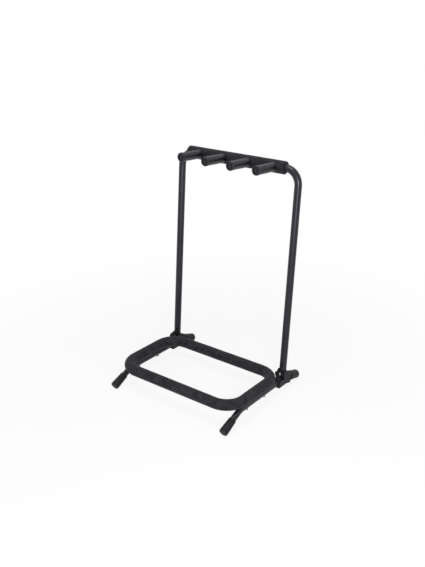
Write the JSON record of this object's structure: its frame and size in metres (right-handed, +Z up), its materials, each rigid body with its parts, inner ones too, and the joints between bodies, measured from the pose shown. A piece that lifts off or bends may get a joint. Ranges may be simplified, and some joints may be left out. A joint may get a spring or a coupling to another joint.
{
  "type": "multi instrument stand",
  "caption": "Folding floor stand for guitars: a foam-covered ring on two bent legs holds their bodies, a leaning frame with foam pegs holds their necks, and the frame folds down over the ring.",
  "frame": {"origin": "on the floor, at the middle of the stand's width and depth", "axes": "+Z up, -Y to the front where the neck pegs point, +X to the right of someone who faces the stand's front"},
  "size_m": [0.4556, 0.4004, 0.7039],
  "materials": {
    "black_steel": "satin",
    "foam": "matte",
    "foot_rubber": "matte",
    "cap_plastic": "satin",
    "bright_steel": "satin"
  },
  "bodies": {
    "base": {"ring_tube": "black_steel", "ring_foam": "foam", "left_leg_tube": "black_steel", "right_leg_tube": "black_steel", "left_hinge_bracket": "black_steel", "right_hinge_bracket": "black_steel", "front_left_foot": "foot_rubber", "front_right_foot": "foot_rubber", "rear_left_foot": "foot_rubber", "rear_right_foot": "foot_rubber", "ring_bolts": "bright_steel", "ring_insert_nuts": "bright_steel"},
    "back_frame": {"back_frame_tube": "black_steel", "neck_rest_foam": "foam", "neck_peg_tube_1": "black_steel", "neck_peg_tube_2": "black_steel", "neck_peg_tube_3": "black_steel", "neck_peg_tube_4": "black_steel", "neck_peg_foam_1": "foam", "neck_peg_foam_2": "foam", "neck_peg_foam_3": "foam", "neck_peg_foam_4": "foam", "neck_peg_cap_1": "cap_plastic", "neck_peg_cap_2": "cap_plastic", "neck_peg_cap_3": "cap_plastic", "neck_peg_cap_4": "cap_plastic", "left_hinge_fork": "black_steel", "right_hinge_fork": "black_steel", "left_hinge_bolt": "bright_steel", "right_hinge_bolt": "bright_steel", "left_hinge_nut": "black_steel", "right_hinge_nut": "black_steel", "left_upright_plug": "cap_plastic", "right_upright_plug": "cap_plastic", "hinge_washers": "black_steel"}
  },
  "joints": [
    {"name": "frame_fold", "type": "hinge", "parent": "base", "child": "back_frame", "pos_m": [0, 0.08893, 0.06338], "axis": [1, 0, 0], "range_deg": [0, 94]}
  ]
}
